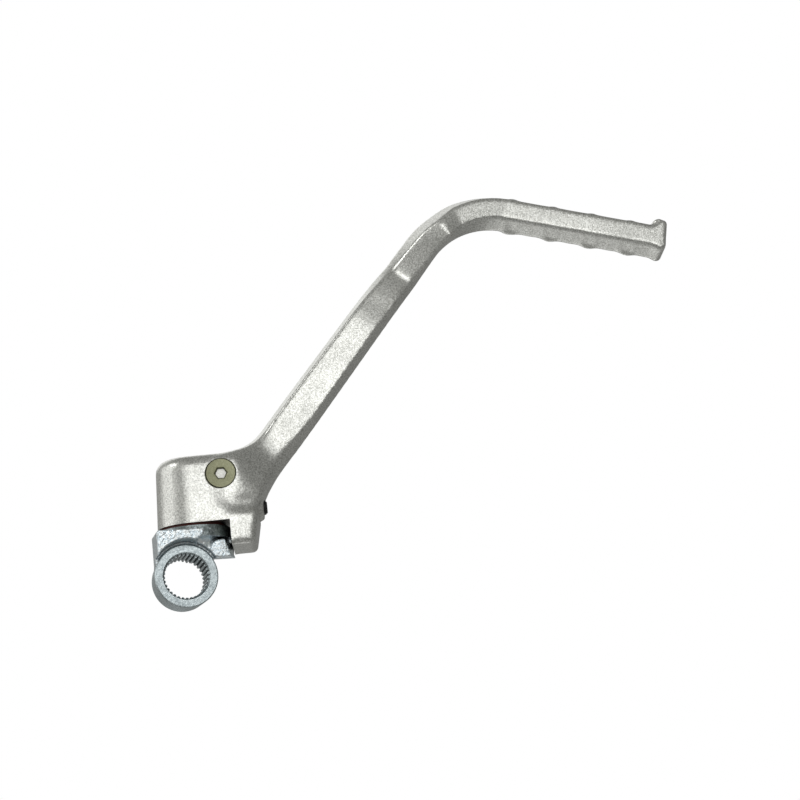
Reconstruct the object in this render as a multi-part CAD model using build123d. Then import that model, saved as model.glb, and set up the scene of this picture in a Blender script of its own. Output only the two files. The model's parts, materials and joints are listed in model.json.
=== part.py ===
"""Folding kick start lever: a forged arm that swivels on a splined knuckle.

Origin: centre of the serrated bore. Y is the kick shaft's axis, Z the swivel journal's, X the lever's.
The lever and what it carries are drawn in the lever's own frame, journal axis at x = y = 0, and then
turned about the journal to the folded position. Units: millimetres and degrees.
"""
import math
import os
from collections import namedtuple

from build123d import *

# Knuckle: hub with the serrated bore
hub_length = 16.0
hub_front_radius = 13.0
hub_back_radius = 12.3
hub_edge_chamfer = 0.5
serration_count = 33
serration_minor_radius = 8.65
serration_major_radius = 9.6
serration_land = 0.56
bore_mouth_radius = 9.75
bore_mouth_depth = 0.9

# Knuckle: journal and flange
journal_x = 5.5
journal_radius = 11.5
journal_top = 45.5
journal_chamfer = 0.8
flange_radius = 15.2
flange_top = 19.5
flange_bottom = 15.0
neck_radius = 9.6
neck_bottom = 8.0
neck_round = 2.4

# Knuckle: block that stops the open lever, ear below the heel, lug that stops the folded lever
block_top = 18.2
block_left = 17.5
block_right = 1.6
block_bottom = 3.0
block_corner_chamfer = 0.8
block_right_height = 2.2
block_round = 0.5
hub_relief_radius = 14.2
hub_relief_step = 1.0
ear_left = 4.6
ear_top = 14.4
ear_top_radius = 14.2
ear_bottom = 6.7
ear_bottom_radius = 16.2
ear_front = 9.0
ear_thickness = 5.5
ear_corner_radius = 5.0
ear_round = 0.6
lug_bottom = 10.5
lug_reach = 12.5
stop_gap = 0.4

# Swing of the lever about the journal
folded_yaw = -12.0
open_yaw = -90.0

# Clearances
running_clearance = 0.03
fastener_clearance = 0.05
moving_clearance = 0.3
end_clearance = 0.1

# Lever head: section on the journal's axis, and the concave sweep from its top to the arm
head_radius = 14.6
head_top_radius = 13.4
head_top = 50.6
head_underside = 20.7
head_crown = 2.0
head_round = 5.0
head_edge_round = 0.3
head_fall_start = 0.18
head_fall_end = 0.76
crotch_radius = 25.0
crotch_spans = 10
root_swell = 16.0
root_swell_end = 0.7
relief_x = 4.0
relief_z = 25.4
relief_angle = 42.6
relief_slope = 15.0
relief_radius = 40.0

# Lever heel: pad beside the knuckle, its inner side meets the stops
heel_half_depth = 14.4
heel_inner = 15.8
heel_bottom = 10.4
heel_right_low = 25.2
heel_right_high = 28.0
heel_top_left = 25.6
heel_top_right = 24.2
heel_corner_radius = 2.2
heel_round = 2.0

# Lever bar: line of the arm, bend and peg in the front view, heights at the parting line
arm_x = 48.45
arm_z = 65.6
arm_angle = 49.4
arm_to_vertex = 109.6
arm_low_height = 17.2
arm_high_height = 15.4
arm_half_depth = 7.0
arm_inset = 2.6
bend_radius = 36.0
peg_angle = -16.0
peg_length = 68.6
peg_height = 14.4
peg_half_depth = 8.2
peg_inset = 3.5
bar_round = 0.9

# Lever bar: runs along the centre line from the arm's reference point, and turns round the bend
ramp_start_run = 46.0
valley_run = 71.5
valley_front = 3.6
valley_back = 9.0
valley_parting = 2.0
valley_inset_above = 3.9
valley_inset_below = 1.9
valley_trim = 0.6
crest_turn = 19.8
crest_front = 10.8
crest_back = 6.8
crest_inset_above = 6.0
crest_inset_below = 1.9
crest_trim = 1.0
crest_end_turn = 32.0
crest_end_front = 9.3
crest_end_inset_above = 4.6
crest_end_inset_below = 3.0
crest_end_trim = 0.3

# Peg: ribs across it and the lip at its end
rib_count = 4
rib_first = 4.0
rib_last_to_lip = 7.35
rib_half_length = 3.6
rib_rise = 0.9
lip_length = 7.0
lip_rise_above = 3.0
lip_rise_below = 1.2
lip_corner_above = 1.6
lip_corner_below = 2.2
lip_lean_middle = 0.5
lip_lean_face = 1.7

# Retaining screw, countersunk, across the journal's groove
screw_x = 13.65
screw_z = 40.1
screw_face = 13.8
screw_radius = 3.0
screw_head_radius = 6.0
screw_head_rim = 0.45
screw_head_recess = 0.15
screw_end = 10.0
screw_end_chamfer = 0.6
screw_hole_end = 11.0
screw_socket_flats = 4.0
screw_socket_depth = 2.4

# Detent: ball, spring and plug behind the heel
detent_z = 26.5
detent_bore_radius = 3.05
detent_boss_radius = 5.3
detent_boss_end = 29.7
detent_boss_chamfer = 0.7
ball_radius = 2.9
ball_travel = 0.6
ball_clearance = 0.1
spring_outer_radius = 2.6
spring_wire_radius = 0.35
spring_turns = 5.0
plug_length = 6.8
plug_proud = 1.3
plug_chamfer = 0.8
plug_socket_flats = 3.0
plug_socket_depth = 2.6

# Seal ring in the gap under the head
seal_section_radius = 0.9
seal_inner_gap = 0.1

OVERSIZE = 200.0
UPWARD = (Align.CENTER, Align.CENTER, Align.MIN)
DOWNWARD = (Align.CENTER, Align.CENTER, Align.MAX)

arm_heading = math.radians(arm_angle)
bend_turn = math.radians(arm_angle - peg_angle)
bend_start_run = arm_to_vertex - bend_radius * math.tan(bend_turn / 2)
bend_end_run = bend_start_run + bend_radius * bend_turn
rib_pitch = (peg_length - lip_length - rib_first - rib_last_to_lip) / (rib_count - 1)
block_front = heel_inner - stop_gap
ball_x = journal_radius + ball_clearance + ball_radius
plug_outer_x = detent_boss_end + plug_proud
plug_inner_x = plug_outer_x - plug_length

# One section of the bar, by its run along the centre line
Station = namedtuple("Station", "run front back inset_above inset_below parting trim")


def along_y(shape):
    """Turns a shape drawn along +Z so that it runs along +Y."""
    return Rot(-90, 0, 0) * shape


def along_x(shape):
    """Turns a shape drawn along +Z so that it runs along +X."""
    return Rot(0, 90, 0) * shape


def hex_socket(flats, depth):
    """A hexagonal socket tool, drawn along +Z from z = 0."""
    return extrude(RegularPolygon(flats / 2, 6, major_radius=False), depth)


def to_folded(shape):
    """Turns a shape from the lever's own frame to the folded position on the journal."""
    return Pos(journal_x, 0, 0) * Rot(0, 0, folded_yaw) * shape


def make_serrated_bore():
    """The bore tool: a minor circle with V-shaped grooves, and a chamfered mouth at each end."""
    pitch = 360.0 / serration_count
    half_groove = math.pi / serration_count - serration_land / serration_minor_radius / 2
    shoulder_x = serration_minor_radius * math.cos(half_groove)
    shoulder_y = serration_minor_radius * math.sin(half_groove)
    groove = make_face(Polyline(
        (0, 0), (shoulder_x, -shoulder_y), (serration_major_radius, 0), (shoulder_x, shoulder_y), close=True
    ))
    profile = Circle(serration_minor_radius)
    profile += [Rot(0, 0, i * pitch) * groove for i in range(serration_count)]
    tool = extrude(profile, hub_length, both=True)
    for side in (0, 180):
        mouth = Cone(
            bore_mouth_radius - bore_mouth_depth, bore_mouth_radius, bore_mouth_depth, align=DOWNWARD
        )
        tool += Rot(side, 0, 0) * Pos(0, 0, hub_length / 2) * mouth
    return along_y(tool)


def make_journal():
    """The swivel journal, with the screw's ring groove and a pocket for the ball at each end of the swing."""
    journal = Pos(0, 0, flange_bottom) * Cylinder(
        journal_radius, journal_top - flange_bottom, align=UPWARD
    )
    journal = chamfer(journal.edges().sort_by(Axis.Z)[-1], journal_chamfer)
    groove_root = screw_x - screw_radius - moving_clearance
    groove_width = 2 * (screw_radius + moving_clearance)
    ring = Cylinder(journal_radius + moving_clearance, groove_width) - Cylinder(groove_root, groove_width)
    journal -= Pos(0, 0, screw_z) * ring
    pocket = Pos(ball_x - ball_travel, 0, detent_z) * Sphere(ball_radius + ball_clearance)
    for yaw in (folded_yaw, open_yaw):
        journal -= Rot(0, 0, yaw) * pocket
    return journal


def make_flange():
    """The flange under the lever's head, coved into a round neck."""
    corner = (neck_radius + neck_round, flange_bottom)
    foot = (neck_radius, flange_bottom - neck_round)
    outline = Polyline(
        foot, (neck_radius, neck_bottom), (0, neck_bottom), (0, flange_top),
        (flange_radius, flange_top), (flange_radius, flange_bottom), corner,
    )
    cove = RadiusArc(corner, foot, -neck_round)
    return revolve(Plane.XZ * make_face([outline, cove]), Axis.Z)


def make_ear():
    """The ear below the heel: a pad with one large rounded corner, its outer side on a cone."""
    outline = FilletPolyline(
        (ear_left, ear_bottom),
        (OVERSIZE, ear_bottom),
        (OVERSIZE, ear_top),
        (ear_left, ear_top),
        radius=(0, 0, 0, ear_corner_radius),
        close=True,
    )
    ear = Pos(0, -ear_front, 0) * extrude(Plane.XZ * make_face(outline), -ear_thickness)
    ear &= Pos(0, 0, ear_bottom) * Cone(
        ear_bottom_radius, ear_top_radius, ear_top - ear_bottom, align=UPWARD
    )
    return fillet(ear.faces().sort_by(Axis.Y)[0].edges(), ear_round)


def make_block():
    """The block whose front stops the open lever; its right side slopes in under a short upright."""
    slope_end = block_top - block_right_height - block_bottom
    outline = Polyline(
        (-block_left, block_bottom),
        (-block_left, block_top - block_corner_chamfer),
        (block_corner_chamfer - block_left, block_top),
        (block_right, block_top),
        (block_right, block_top - block_right_height),
        (block_right - slope_end, block_bottom),
        close=True,
    )
    block = extrude(Plane.XZ * make_face(outline), block_front)
    return fillet(block.faces().sort_by(Axis.Y)[0].edges(), block_round)


def make_knuckle():
    """The forged steel knuckle: hub, flange, journal, stop block, ear and stop lug in one piece."""
    hub = along_y(chamfer(
        Cone(hub_front_radius, hub_back_radius, hub_length).edges().filter_by(GeomType.CIRCLE),
        hub_edge_chamfer,
    ))
    flange = make_flange()
    ear = make_ear()
    lug = Rot(0, 0, folded_yaw) * Pos(0, 0, lug_bottom) * Box(
        heel_inner - stop_gap, lug_reach, flange_bottom - lug_bottom,
        align=(Align.MIN, Align.MIN, Align.MIN),
    )
    block = make_block()
    body = Pos(journal_x, 0, 0) * (flange + ear + lug + block)
    body -= along_y(
        Pos(0, 0, hub_relief_step - hub_length / 2) * Cylinder(hub_relief_radius, OVERSIZE, align=DOWNWARD)
    )
    body += hub
    body += Pos(journal_x, 0, 0) * make_journal()
    return body - make_serrated_bore()


def bar_place(run):
    """The bar's centre line in the front view: x, z and heading at a run along it."""
    straight = min(run, bend_start_run)
    x = arm_x + straight * math.cos(arm_heading)
    z = arm_z + straight * math.sin(arm_heading)
    turned = (min(max(run, bend_start_run), bend_end_run) - bend_start_run) / bend_radius
    heading = arm_heading - turned
    x += bend_radius * (math.sin(arm_heading) - math.sin(heading))
    z += bend_radius * (math.cos(heading) - math.cos(arm_heading))
    rest = max(run - bend_end_run, 0)
    return x + rest * math.cos(heading), z + rest * math.sin(heading), heading


def bar_height(run):
    """Height of the bar at its parting line: the arm tapers up to the bend, the peg is even."""
    if run <= bend_start_run:
        return arm_low_height + (arm_high_height - arm_low_height) * max(run, 0) / bend_start_run
    share = min((run - bend_start_run) / (bend_end_run - bend_start_run), 1)
    return arm_high_height + (peg_height - arm_high_height) * share


def section(upper, lower, front, back, inset_above, inset_below, round_above, round_below, parting=0.0):
    """A forged section between two points of the front view: flat front and back faces, each given by its
    depth above and below, and sides that slope from them to a parting line."""
    rise = Vector(upper[0] - lower[0], 0, upper[1] - lower[1])
    half = rise.length / 2
    across = rise.normalized()
    plane = Plane(
        origin=((upper[0] + lower[0]) / 2, 0, (upper[1] + lower[1]) / 2),
        x_dir=(0, 1, 0),
        z_dir=(across.Z, 0, -across.X),
    )
    outline = FilletPolyline(
        (parting, half),
        (-front[0], half - inset_above),
        (-front[1], inset_below - half),
        (parting, -half),
        (back[1], inset_below - half),
        (back[0], half - inset_above),
        radius=(0, round_above, round_below, 0, round_below, round_above),
        close=True,
    )
    return plane * make_face(outline)


def bar_section(station):
    """The bar's section at a station."""
    x, z, heading = bar_place(station.run)
    below = bar_height(station.run) / 2
    above = below - station.trim
    return section(
        (x - above * math.sin(heading), z + above * math.cos(heading)),
        (x + below * math.sin(heading), z - below * math.cos(heading)),
        (station.front, station.front),
        (station.back, station.back),
        station.inset_above,
        station.inset_below,
        bar_round,
        bar_round,
        station.parting,
    )


def between(start, end, share, ease):
    """A station part of the way from one to the next, its run even and its section eased."""
    run = start.run + (end.run - start.run) * share
    rest = [a + (b - a) * ease(share) for a, b in zip(start[1:], end[1:])]
    return Station(run, *rest)


def bar_stretch(start, end, spans, ease):
    """The bar between two stations, as a loft through evenly spaced sections."""
    stations = [between(start, end, i / spans, ease) for i in range(spans + 1)]
    return loft([bar_section(s) for s in stations], ruled=spans == 1)


def even(share):
    """Keeps a constant slope."""
    return share


def gathering(share):
    """Starts level and steepens."""
    return share * share


def level_ends(share):
    """Starts and ends level."""
    return share * share * (3 - 2 * share)


def make_bar(start_run):
    """Arm, kinked bend and peg, lofted stretch by stretch between named stations."""
    arm = (arm_half_depth, arm_half_depth, arm_inset, arm_inset, 0.0, 0.0)
    peg = (peg_half_depth, peg_half_depth, peg_inset, peg_inset, 0.0, 0.0)
    arm_start = Station(start_run, *arm)
    taper_start = Station(0.0, *arm)
    ramp_start = Station(ramp_start_run, *arm)
    valley = Station(
        valley_run, valley_front, valley_back,
        valley_inset_above, valley_inset_below, valley_parting, valley_trim,
    )
    crest_run = bend_start_run + bend_radius * math.radians(crest_turn)
    crest = Station(
        crest_run, crest_front, crest_back, crest_inset_above, crest_inset_below, 0.0, crest_trim
    )
    crest_end_run = bend_start_run + bend_radius * math.radians(crest_end_turn)
    crest_end = Station(
        crest_end_run, crest_end_front, peg_half_depth,
        crest_end_inset_above, crest_end_inset_below, 0.0, crest_end_trim,
    )
    bend_end = Station(bend_end_run, *peg)
    stretches = [
        (arm_start, taper_start, 1, even),
        (taper_start, ramp_start, 1, even),
        (ramp_start, valley, 4, gathering),
        (valley, crest, 6, even),
        (crest, crest_end, 3, even),
        (crest_end, bend_end, 6, even),
    ]
    bar = make_peg()
    for start, end, spans, ease in stretches:
        bar += bar_stretch(start, end, spans, ease)
    return bar


def peg_profile(half, ribs, lean):
    """The peg's outline in the front view from its start at the origin; the end leans out at the bottom."""
    stops = [(0.0, 0.0, 0.0)]
    for i in range(rib_count):
        middle = rib_first + i * rib_pitch
        stops += [(middle, ribs, 0.0), (middle + rib_half_length, 0.0, 0.0)]
        if i < rib_count - 1:
            stops += [(middle + rib_pitch / 2, 0.0, 0.0), (middle + rib_pitch - rib_half_length, 0.0, 0.0)]
    plain_end = peg_length - lip_length
    for along, rise in ((0.0, 0.0), (0.3, 0.05), (0.62, 0.8), (0.8, 1.0), (1.0, 1.0)):
        stops.append((plain_end + lip_length * along, 0.0, rise))
    above = Spline(*[(x, half + rib + lip_rise_above * lip) for x, rib, lip in stops])
    below = Spline(*[(x + lean * lip, -half - rib - lip_rise_below * lip) for x, rib, lip in stops])
    outline = make_face([above, Line(above @ 1, below @ 1), below, Line(below @ 0, above @ 0)])
    outline = fillet(outline.vertices().sort_by_distance(above @ 1)[0], lip_corner_above)
    return fillet(outline.vertices().sort_by_distance(below @ 1)[0], lip_corner_below)


def make_peg():
    """The peg: ribs and lip swell its parting lines and fade out towards the flat faces."""
    x, z, heading = bar_place(bend_end_run)
    middle = Plane(origin=(x, 0, z), x_dir=(math.cos(heading), 0, math.sin(heading)), z_dir=(0, -1, 0))
    at_parting = middle * peg_profile(peg_height / 2, rib_rise, lip_lean_middle)
    at_face = middle.offset(peg_half_depth) * peg_profile(peg_height / 2 - peg_inset, 0.0, lip_lean_face)
    half = loft([at_parting, at_face], ruled=True)
    face = half.faces().sort_by(Axis.Y)[0]
    start_edge = face.edges().sort_by_distance((x, -peg_half_depth, z))[0]
    rounded = [e for e in face.edges() if e != start_edge]
    half = fillet(rounded, bar_round)
    return half + mirror(half, Plane.XZ)


def mix(low, high, share):
    """A value part of the way from low to high."""
    return low + (high - low) * share


def head_section(turn, centre_x, centre_z, end_run):
    """A section of the head at a share of the turn from its level top into the arm; a negative share
    lies before the turn, across X."""
    heading = arm_heading * max(turn, 0)
    ahead = min(turn, 0) * centre_x
    straight = (crotch_radius + bar_height(end_run)) / math.cos(arm_heading - heading) - crotch_radius
    level = head_top - head_underside
    height = straight
    if turn < root_swell_end:
        swollen = straight + root_swell * (root_swell_end - turn) ** 2
        height = level if turn <= 0 else -2 * math.log(math.exp(-swollen / 2) + math.exp(-level / 2))
    share = min(max((turn - head_fall_start) / (head_fall_end - head_fall_start), 0), 1)
    arm_share = level_ends(share)
    depth = (
        mix(head_top_radius, arm_half_depth, arm_share),
        mix(head_radius, arm_half_depth, arm_share),
    )
    outer = crotch_radius + height
    return section(
        (centre_x + ahead + crotch_radius * math.sin(heading), centre_z - crotch_radius * math.cos(heading)),
        (centre_x + ahead + outer * math.sin(heading), centre_z - outer * math.cos(heading)),
        depth,
        depth,
        mix(head_crown, arm_inset, arm_share),
        mix(0.0, arm_inset, arm_share),
        mix(head_round, bar_round, arm_share),
        mix(head_edge_round, bar_round, arm_share),
    )


def make_head():
    """Round head on the journal, swept through a fan of sections into the arm; returns it and its end run."""
    centre_z = head_top + crotch_radius
    reach = crotch_radius + arm_low_height / 2 - (centre_z - arm_z) * math.cos(arm_heading)
    centre_x = arm_x - reach / math.sin(arm_heading)
    end_run = (centre_x - arm_x) * math.cos(arm_heading) + (centre_z - arm_z) * math.sin(arm_heading)
    at_axis = head_section(-1, centre_x, centre_z, end_run)
    at_turn = head_section(0, centre_x, centre_z, end_run)
    turns = [i / crotch_spans for i in range(crotch_spans + 1)]
    sweep_to_arm = loft([head_section(t, centre_x, centre_z, end_run) for t in turns])
    half = at_axis & Pos(0, OVERSIZE / 2, 0) * Box(OVERSIZE, OVERSIZE, OVERSIZE)
    head = revolve(half, Axis.Z, 180) + loft([at_axis, at_turn], ruled=True) + sweep_to_arm
    return head - make_relief(), end_run


def make_relief():
    """Tool for the head's front: it lets the front curve away from the pad and fall behind the heel's pad."""
    trace = math.radians(relief_angle)
    plane = Plane(
        origin=(relief_x, -head_radius, relief_z),
        x_dir=(math.sin(trace), 0, -math.cos(trace)),
        z_dir=(math.cos(trace), 0, math.sin(trace)),
    )
    slope = math.radians(relief_slope)
    curve = CenterArc((0, relief_radius), relief_radius, -90, relief_slope)
    far = curve @ 1 + Vector(math.cos(slope), math.sin(slope)) * OVERSIZE
    outline = [
        curve,
        Polyline(curve @ 1, far, (far.X, -OVERSIZE), (0, -OVERSIZE), curve @ 0),
    ]
    return extrude(plane * make_face(outline), OVERSIZE, both=True)


def make_heel():
    """The heel's pad under the head and its foot beside the knuckle, front and back edges rounded."""
    outline = FilletPolyline(
        (relief_x, head_underside),
        (heel_inner, head_underside),
        (heel_inner, heel_bottom),
        (heel_right_low, heel_bottom),
        (heel_right_high, heel_top_right),
        (relief_x, heel_top_left),
        radius=(0, 0, 0, heel_corner_radius, 0, 0),
        close=True,
    )
    heel = extrude(Plane.XZ * make_face(outline), heel_half_depth, both=True)
    right = heel.faces().filter_by(GeomType.PLANE).sort_by(Axis.X)[-1]
    top = heel.faces().filter_by(GeomType.PLANE).sort_by(Axis.Z)[-1]
    edges = right.edges().filter_by(GeomType.LINE) + top.edges().filter_by(GeomType.LINE)
    lowest = heel_bottom + heel_corner_radius
    rounded = {e for e in edges if e.center().X > heel_inner / 2 and e.center().Z > lowest}
    return fillet(ShapeList(rounded), heel_round)


def make_lever():
    """The forged aluminium lever in one piece, bored for the journal, the screw and the detent."""
    body, arm_start_run = make_head()
    body += make_bar(arm_start_run)
    body += make_heel()
    boss = along_x(Cylinder(detent_boss_radius, detent_boss_end, align=UPWARD))
    boss = chamfer(boss.faces().sort_by(Axis.X)[-1].edges(), detent_boss_chamfer)
    body += Pos(0, 0, detent_z) * boss
    slot = Box(2 * heel_inner, OVERSIZE, head_underside, align=UPWARD)
    body -= slot
    bore_top = journal_top + end_clearance
    body -= Pos(0, 0, head_underside) * Cylinder(
        journal_radius + running_clearance, bore_top - head_underside, align=UPWARD
    )
    seal_outer = journal_radius + seal_inner_gap + 2 * seal_section_radius
    seal_top = flange_top + 2 * seal_section_radius
    body -= Pos(0, 0, head_underside) * Cylinder(
        seal_outer + moving_clearance, seal_top + moving_clearance - head_underside, align=UPWARD
    )
    body -= Pos(screw_x, 0, screw_z) * make_screw_hole()
    return body - Pos(0, 0, detent_z) * along_x(Cylinder(detent_bore_radius, OVERSIZE, align=UPWARD))


def make_screw_hole():
    """The tool for the screw's hole and countersink, along Y through the screw's axis."""
    seat = screw_head_radius + screw_head_recess + screw_head_rim + fastener_clearance
    front = -screw_face
    hole = Pos(0, 0, front) * Cylinder(
        screw_radius + fastener_clearance, screw_hole_end - front, align=UPWARD
    )
    hole += Pos(0, 0, front) * Cone(seat, 0, seat, align=UPWARD)
    hole += Pos(0, 0, front) * Cylinder(seat, seat, align=DOWNWARD)
    return along_y(hole)


def make_screw():
    """The countersunk socket screw, drawn along Y through its own axis."""
    top = -screw_face + screw_head_recess
    cone_top = top + screw_head_rim
    screw = Pos(0, 0, top) * Cylinder(screw_head_radius, screw_head_rim, align=UPWARD)
    cone_height = screw_head_radius - screw_radius
    screw += Pos(0, 0, cone_top) * Cone(screw_head_radius, screw_radius, cone_height, align=UPWARD)
    shank = Pos(0, 0, cone_top) * Cylinder(screw_radius, screw_end - cone_top, align=UPWARD)
    screw += chamfer(shank.edges().sort_by(Axis.Z)[-1], screw_end_chamfer)
    screw -= Pos(0, 0, top) * hex_socket(screw_socket_flats, screw_socket_depth)
    return along_y(screw)


def make_plug():
    """The detent's grub screw, drawn along X."""
    plug = Pos(0, 0, plug_inner_x) * Cylinder(
        detent_bore_radius - fastener_clearance, plug_length, align=UPWARD
    )
    plug = chamfer(plug.edges().filter_by(GeomType.CIRCLE), plug_chamfer)
    plug -= Pos(0, 0, plug_outer_x - plug_socket_depth) * hex_socket(plug_socket_flats, plug_socket_depth)
    return along_x(plug)


def make_spring():
    """The detent's coil spring between ball and plug, drawn along X."""
    coil_radius = spring_outer_radius - spring_wire_radius
    seat_height = math.sqrt(ball_radius ** 2 - coil_radius ** 2)
    start = ball_x + seat_height + spring_wire_radius * ball_radius / seat_height
    end = plug_inner_x - spring_wire_radius - fastener_clearance
    height = end - start
    coil = Helix(pitch=height / spring_turns, height=height, radius=coil_radius)
    wire = Plane(origin=coil @ 0, z_dir=coil % 0) * RegularPolygon(spring_wire_radius, 6)
    return along_x(Pos(0, 0, start) * sweep(wire, path=coil))


def make_seal():
    """The seal ring round the foot of the journal."""
    middle = journal_radius + seal_inner_gap + seal_section_radius
    return Pos(journal_x, 0, flange_top + seal_section_radius) * Torus(middle, seal_section_radius)


parts = {
    "knuckle": make_knuckle(),
    "lever": to_folded(make_lever()),
    "retaining_screw": to_folded(Pos(screw_x, 0, screw_z) * make_screw()),
    "detent_plug": to_folded(Pos(0, 0, detent_z) * make_plug()),
    "detent_spring": to_folded(Pos(0, 0, detent_z) * make_spring()),
    "detent_ball": to_folded(Pos(ball_x, 0, detent_z) * Sphere(ball_radius)),
    "seal_ring": make_seal(),
}

os.makedirs("parts", exist_ok=True)
for name, shape in parts.items():
    export_step(shape, f"parts/{name}.step")
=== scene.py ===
# %% [markdown]
# # A folding kick start lever, dressed for a studio picture
#
# The construction comes in as a fixed frame: a forged aluminium lever that swivels on a plated steel
# knuckle, with its screw, detent and seal. This lesson gives each of those pieces its finish, in the same
# frame and in metres, and sets up a small white studio around them.

import json
import math

import bmesh
import bpy
from mathutils import Matrix, Vector


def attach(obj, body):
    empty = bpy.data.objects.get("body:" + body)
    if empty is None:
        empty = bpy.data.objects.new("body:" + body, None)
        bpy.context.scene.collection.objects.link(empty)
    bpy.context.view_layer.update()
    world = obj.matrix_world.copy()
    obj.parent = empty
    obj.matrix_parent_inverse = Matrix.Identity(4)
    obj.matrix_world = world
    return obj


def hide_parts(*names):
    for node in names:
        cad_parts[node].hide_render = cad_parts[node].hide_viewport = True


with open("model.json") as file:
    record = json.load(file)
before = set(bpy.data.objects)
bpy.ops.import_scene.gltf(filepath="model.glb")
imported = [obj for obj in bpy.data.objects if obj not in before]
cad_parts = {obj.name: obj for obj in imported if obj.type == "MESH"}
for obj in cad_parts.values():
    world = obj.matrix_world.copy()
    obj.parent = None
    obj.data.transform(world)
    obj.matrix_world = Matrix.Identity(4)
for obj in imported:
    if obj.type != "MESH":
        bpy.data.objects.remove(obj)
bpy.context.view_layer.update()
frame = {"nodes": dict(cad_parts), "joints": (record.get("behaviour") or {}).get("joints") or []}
MM = 0.001
print("nodes:", ", ".join(sorted(frame["nodes"])))

# %% [markdown]
# ## Camera
#
# The picture looks at the lever a little from the left and from below, and the whole picture is tipped by a
# few degrees. A long lens keeps the perspective weak. The hub's front rim is the nearest round thing, so the
# camera is placed by it: its centre has to come out on one known pixel.

# %% Camera
IMAGE_SIDE = 800
SENSOR_WIDTH = 36.0
CLIP_NEAR = 0.05
CLIP_FAR = 60.0
view_azimuth = math.radians(-14.6)
view_elevation = math.radians(-13.0)
view_roll = math.radians(6.0)
hub_distance = 0.9
pixels_per_metre = 2470.0
hub_front = Vector((0.0, -0.008, 0.0))
hub_pixel = Vector((186.8, 575.9))


def new_object(name, data):
    """Links a new object that holds the data."""
    made = bpy.data.objects.new(name, data)
    bpy.context.scene.collection.objects.link(made)
    return made


def make_camera():
    """Places the camera so that the hub's front centre comes out on its pixel."""
    ahead = Vector((
        -math.sin(view_azimuth) * math.cos(view_elevation),
        math.cos(view_azimuth) * math.cos(view_elevation),
        -math.sin(view_elevation),
    ))
    level_right = Vector((math.cos(view_azimuth), math.sin(view_azimuth), 0.0))
    level_up = level_right.cross(ahead)
    right = math.cos(view_roll) * level_right - math.sin(view_roll) * level_up
    up = math.sin(view_roll) * level_right + math.cos(view_roll) * level_up
    offset = (hub_pixel - Vector((IMAGE_SIDE / 2, IMAGE_SIDE / 2))) / pixels_per_metre
    place = hub_front - hub_distance * ahead - offset.x * right + offset.y * up
    data = bpy.data.cameras.new("camera")
    data.sensor_width = SENSOR_WIDTH
    data.lens = SENSOR_WIDTH * pixels_per_metre * hub_distance / IMAGE_SIDE
    data.clip_start = CLIP_NEAR
    data.clip_end = CLIP_FAR
    camera = new_object("camera", data)
    camera.matrix_world = Matrix((
        (right.x, up.x, -ahead.x, place.x),
        (right.y, up.y, -ahead.y, place.y),
        (right.z, up.z, -ahead.z, place.z),
        (0.0, 0.0, 0.0, 1.0),
    ))
    bpy.context.scene.camera = camera
    return camera


camera = make_camera()
print("camera at", [round(v, 4) for v in camera.location], "lens", round(camera.data.lens, 2))

# %% [markdown]
# ## Backdrop
#
# The sky is white to the camera. To the part it is a dim dome that gets darker to the right, which keeps the
# backdrop plain and the right-hand faces grey. A wide pale floor lies far below. Both show the camera one
# thing and the part another, so they share the nodes that tell the two apart.

# %% Backdrop
FLOOR_HEIGHT = -2.6
FLOOR_HALF = 20.0
FLOOR_MATT = (0.8, 0.8, 0.8, 1.0)
FLOOR_SEEN = (0.94, 0.94, 0.93, 1.0)
SKY_SEEN = (1.0, 1.0, 1.0, 1.0)
SKY_TINT = (1.0, 1.0, 0.97, 1.0)
SKY_LEFT = 0.35
SKY_RIGHT = 0.19


def add_node(tree, kind, place=(0, 0), **settings):
    """Adds a node to a tree; settings that name an input set its value, others are the node's own."""
    node = tree.nodes.new(kind)
    node.location = place
    for name, value in settings.items():
        if hasattr(node, name):
            setattr(node, name, value)
        else:
            node.inputs[name.replace("_", " ")].default_value = value
    return node


def link(output, socket):
    """Links an output to an input of the same tree."""
    output.id_data.links.new(output, socket)


def show_two_ways(tree, lit, seen, out_kind):
    """Lets the camera see one shader, and the part meet the other."""
    path = add_node(tree, "ShaderNodeLightPath")
    mixed = add_node(tree, "ShaderNodeMixShader")
    out = add_node(tree, out_kind)
    link(path.outputs["Is Camera Ray"], mixed.inputs[0])
    link(lit.outputs[0], mixed.inputs[1])
    link(seen.outputs[0], mixed.inputs[2])
    link(mixed.outputs[0], out.inputs["Surface"])


def make_floor():
    """A wide pale floor, far below the part."""
    sides = [(-1, -1), (1, -1), (1, 1), (-1, 1)]
    corners = [(x * FLOOR_HALF, y * FLOOR_HALF, FLOOR_HEIGHT) for x, y in sides]
    mesh = bpy.data.meshes.new("floor")
    mesh.from_pydata(corners, [], [(0, 1, 2, 3)])
    floor = new_object("floor", mesh)
    material = bpy.data.materials.new("pale_floor")
    material.use_nodes = True
    tree = material.node_tree
    tree.nodes.clear()
    matt = add_node(tree, "ShaderNodeBsdfDiffuse", Color=FLOOR_MATT)
    seen = add_node(tree, "ShaderNodeEmission", Color=FLOOR_SEEN)
    show_two_ways(tree, matt, seen, "ShaderNodeOutputMaterial")
    mesh.materials.append(material)


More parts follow.
